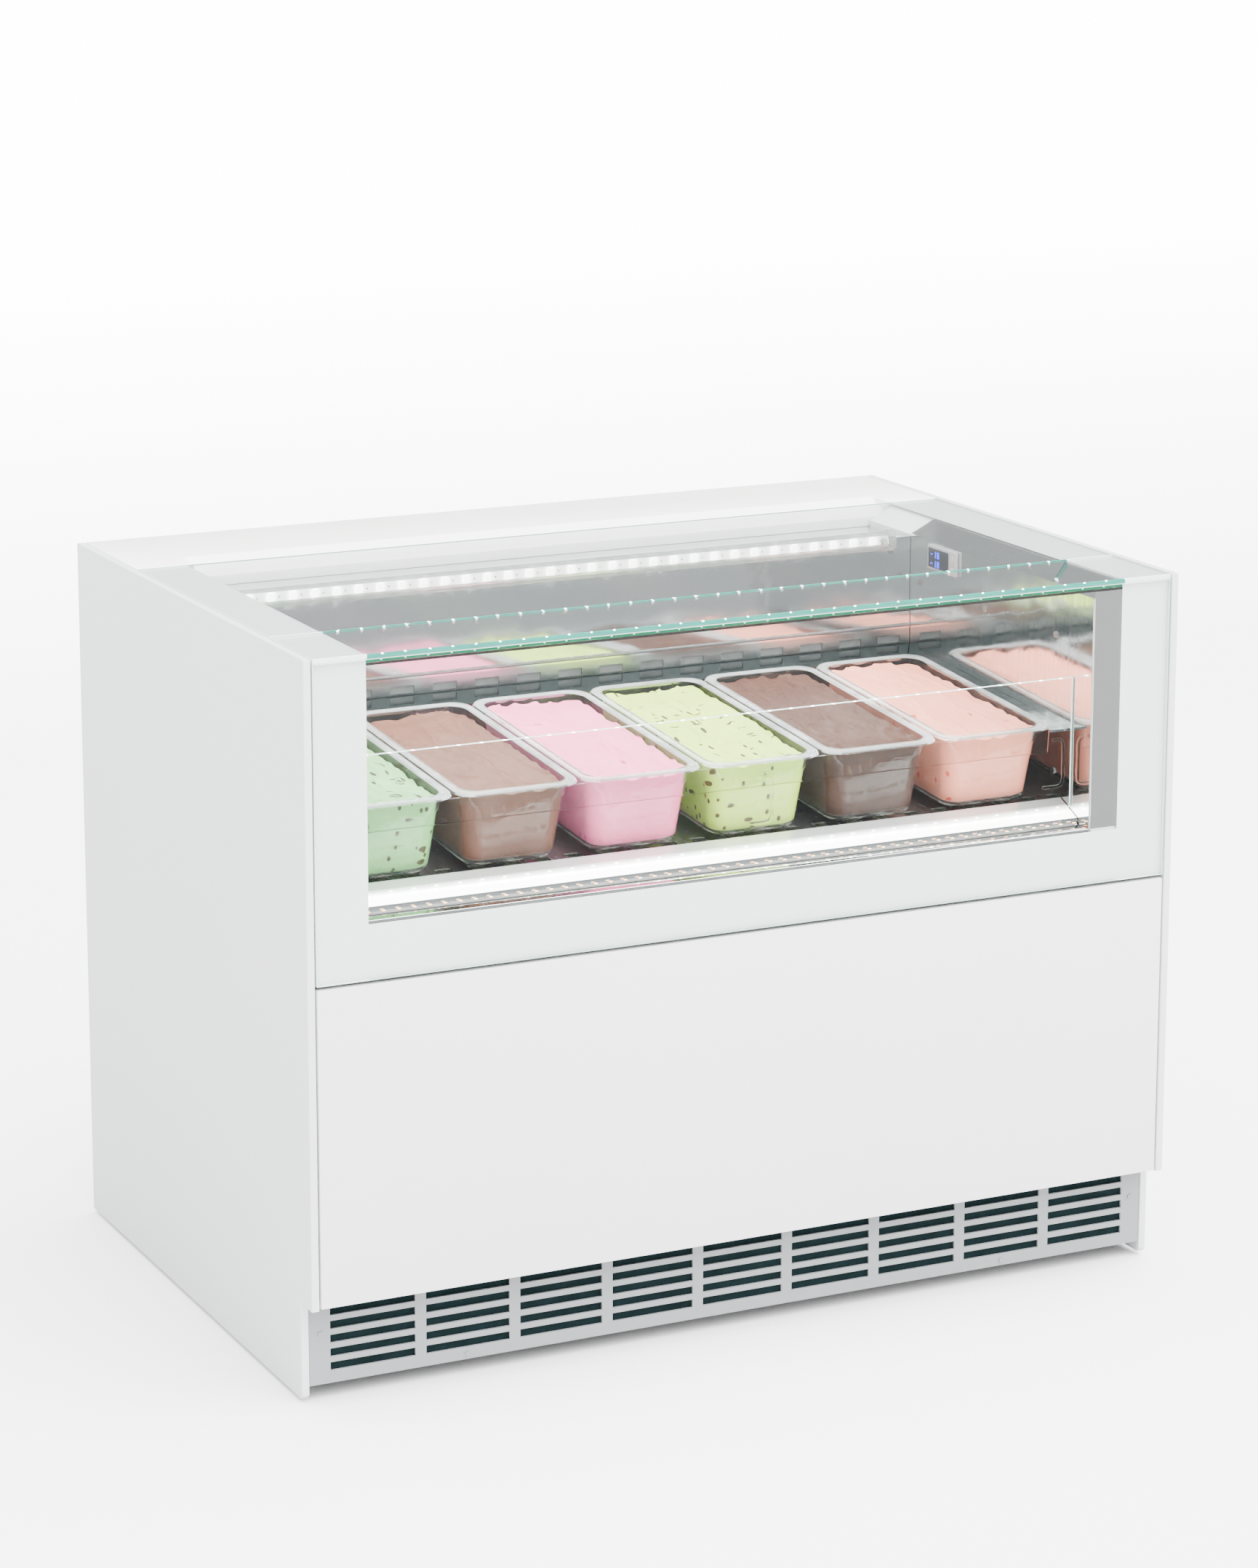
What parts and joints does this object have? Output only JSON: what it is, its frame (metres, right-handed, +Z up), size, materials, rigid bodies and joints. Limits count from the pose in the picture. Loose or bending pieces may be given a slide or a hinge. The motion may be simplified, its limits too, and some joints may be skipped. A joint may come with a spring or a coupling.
{
  "type": "ice cream dipping cabinet",
  "caption": "Low refrigerated scooping cabinet with white boards, bordered glass front and lifting top pane over a sloping row of clear gelato pans, grille plinth and hidden cooling unit.",
  "frame": {"origin": "centre of the footprint on the floor, under the feet", "axes": "+X across to the customer's right, +Y from the customer's side to the server's side, +Z up"},
  "size_m": [1.2, 0.8, 0.928],
  "materials": {
    "white_laminate": "satin white laminate board",
    "white_sheet": "white powder coat",
    "worktop_white": "smooth white solid surface",
    "wall_white": "white faced insulation",
    "insulation": "rigid foam in thin skins",
    "grille_grey": "light grey powder coat",
    "galvanised": "zinc coated sheet",
    "mirror_steel": "mirror polished stainless",
    "hinge_steel": "satin stainless",
    "clear_plastic": "clear, polished edge",
    "pan_clear": "clear polycarbonate",
    "glass": "float glass, polished edges, white printed border",
    "led_tube_clear": "clear",
    "led_white": "white, lit",
    "led_cap": "translucent",
    "display_grey": "satin grey",
    "button_grey": "satin",
    "black_plastic": "satin black",
    "compressor_black": "gloss black",
    "coil_aluminium": "bare fins",
    "box_grey": "satin grey",
    "gelato_mint": "soft, spread",
    "gelato_chocolate": "soft, spread",
    "gelato_pink": "soft, spread",
    "gelato_pistachio": "soft, spread",
    "gelato_dark_chocolate": "soft, spread",
    "gelato_peach": "soft, spread"
  },
  "bodies": {
    "cabinet": {"side_panel_left": "white_laminate", "side_panel_right": "white_laminate", "front_panel": "white_laminate", "rear_service_panel": "white_sheet", "rear_upper_panel": "white_sheet", "worktop": "worktop_white", "tub_wall_left": "wall_white", "tub_wall_right": "wall_white", "tub_floor": "insulation", "tub_wall_rear": "insulation", "kick_grille": "grille_grey", "base_tray": "galvanised", "condenser_shroud": "galvanised", "evaporator_shroud": "galvanised", "liner_left": "mirror_steel", "liner_right": "mirror_steel", "liner_rear": "mirror_steel", "duct_cover": "mirror_steel", "cavity_deck": "mirror_steel", "front_sill": "mirror_steel", "pan_rail": "mirror_steel", "air_deflector": "clear_plastic", "pan_rail_front": "clear_plastic", "led_tube": "led_tube_clear", "led_board": "led_white", "front_led_strip": "led_white", "led_cap_left": "led_cap", "led_cap_right": "led_cap", "thermostat": "display_grey", "foot_front_left": "black_plastic", "foot_front_right": "black_plastic", "foot_rear_left": "black_plastic", "foot_rear_right": "black_plastic", "switch_housing": "black_plastic", "power_inlet_gland": "black_plastic", "compressor": "compressor_black", "evaporator_coil": "coil_aluminium", "condenser_coil": "coil_aluminium", "electrical_box": "box_grey"},
    "front_glass_assembly": {"front_glass": "glass", "front_top_pane": "glass", "glass_hinge_profile": "hinge_steel"},
    "top_pane": {"top_glass": "glass"},
    "pan_body_1": {"pan_1": "pan_clear", "gelato_mint": "gelato_mint"},
    "pan_body_2": {"pan_2": "pan_clear", "gelato_chocolate": "gelato_chocolate"},
    "pan_body_3": {"pan_3": "pan_clear", "gelato_pink": "gelato_pink"},
    "pan_body_4": {"pan_4": "pan_clear", "gelato_pistachio": "gelato_pistachio"},
    "pan_body_5": {"pan_5": "pan_clear", "gelato_dark_chocolate": "gelato_dark_chocolate"},
    "pan_body_6": {"pan_6": "pan_clear", "gelato_peach": "gelato_peach"},
    "evaporator_fan_body": {"evaporator_fan": "black_plastic"},
    "condenser_fan_body": {"condenser_fan": "black_plastic"},
    "light_switch_body": {"light_switch": "black_plastic"},
    "button_up_body": {"button_up": "button_grey"},
    "button_down_body": {"button_down": "button_grey"}
  },
  "joints": [
    {"name": "front_glass_tilt", "type": "hinge", "parent": "cabinet", "child": "front_glass_assembly", "pos_m": [0, -0.397, 0.535], "axis": [1, 0, 0], "range_deg": [0, 40]},
    {"name": "top_glass_lift", "type": "hinge", "parent": "cabinet", "child": "top_pane", "pos_m": [0, -0.262, 0.928], "axis": [1, 0, 0], "range_deg": [0, 75]},
    {"name": "pan_1_lift", "type": "slide", "parent": "cabinet", "child": "pan_body_1", "axis": [0, 0, 1], "range_m": [0, 0.14]},
    {"name": "pan_2_lift", "type": "slide", "parent": "cabinet", "child": "pan_body_2", "axis": [0, 0, 1], "range_m": [0, 0.14]},
    {"name": "pan_3_lift", "type": "slide", "parent": "cabinet", "child": "pan_body_3", "axis": [0, 0, 1], "range_m": [0, 0.14]},
    {"name": "pan_4_lift", "type": "slide", "parent": "cabinet", "child": "pan_body_4", "axis": [0, 0, 1], "range_m": [0, 0.14]},
    {"name": "pan_5_lift", "type": "slide", "parent": "cabinet", "child": "pan_body_5", "axis": [0, 0, 1], "range_m": [0, 0.14]},
    {"name": "pan_6_lift", "type": "slide", "parent": "cabinet", "child": "pan_body_6", "axis": [0, 0, 1], "range_m": [0, 0.14]},
    {"name": "evaporator_fan_spin", "type": "hinge", "parent": "cabinet", "child": "evaporator_fan_body", "pos_m": [0, 0.118, 0.7], "axis": [0, 1, 0], "continuous": true},
    {"name": "condenser_fan_spin", "type": "hinge", "parent": "cabinet", "child": "condenser_fan_body", "pos_m": [0.18, -0.252, 0.19], "axis": [0, 1, 0], "continuous": true},
    {"name": "light_switch_rock", "type": "hinge", "parent": "cabinet", "child": "light_switch_body", "pos_m": [0.44, 0.391, 0.729], "axis": [1, 0, 0], "range_deg": [0, 14]},
    {"name": "button_up_press", "type": "slide", "parent": "cabinet", "child": "button_up_body", "axis": [1, 0, 0], "range_m": [0, 0.0006], "stiffness_N_per_m": 500},
    {"name": "button_down_press", "type": "slide", "parent": "cabinet", "child": "button_down_body", "axis": [1, 0, 0], "range_m": [0, 0.0006], "stiffness_N_per_m": 500}
  ]
}
